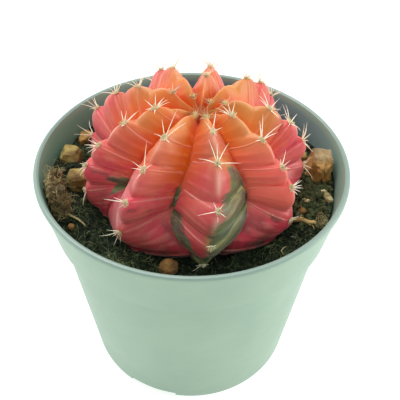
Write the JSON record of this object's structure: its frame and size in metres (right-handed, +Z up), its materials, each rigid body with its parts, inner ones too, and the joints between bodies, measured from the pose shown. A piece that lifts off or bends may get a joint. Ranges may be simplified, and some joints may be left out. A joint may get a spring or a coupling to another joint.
{
  "type": "potted moon cactus",
  "caption": "Round ribbed cactus, orange to crimson, with short pale spines, standing in dark soil in a small tapered pot with a collar and rounded lip.",
  "frame": {"origin": "middle of the pot's underside, on the surface that it stands on", "axes": "+Z up through the pot's axis; -Y is the side that the reference picture was taken from; +X is its right"},
  "size_m": [0.085, 0.085, 0.0941],
  "materials": {
    "pot_plastic": "satin pale grey-green moulded plastic",
    "cactus_flesh": "waxy satin skin, orange crown to crimson foot, pale spines",
    "potting_soil": "rough dark peat",
    "bark": "rough bark",
    "bark_dark": "fibrous bark",
    "tan_stone": "matt stone",
    "pale_wood": "dry twig",
    "orange_clay": "matt baked clay"
  },
  "bodies": {
    "root": {"pot": "pot_plastic", "cactus": "cactus_flesh", "soil": "potting_soil", "bark_chip_big": "bark", "bark_chip_2": "bark", "bark_chip_3": "bark", "bark_chip_4": "bark", "bark_clump": "bark_dark", "tan_stone_1": "tan_stone", "tan_stone_2": "tan_stone", "tan_stone_3": "tan_stone", "tan_stone_4": "tan_stone", "pale_twig": "pale_wood", "dry_root": "pale_wood", "round_pebble": "orange_clay", "orange_grain_1": "orange_clay", "orange_grain_2": "orange_clay"}
  },
  "joints": []
}
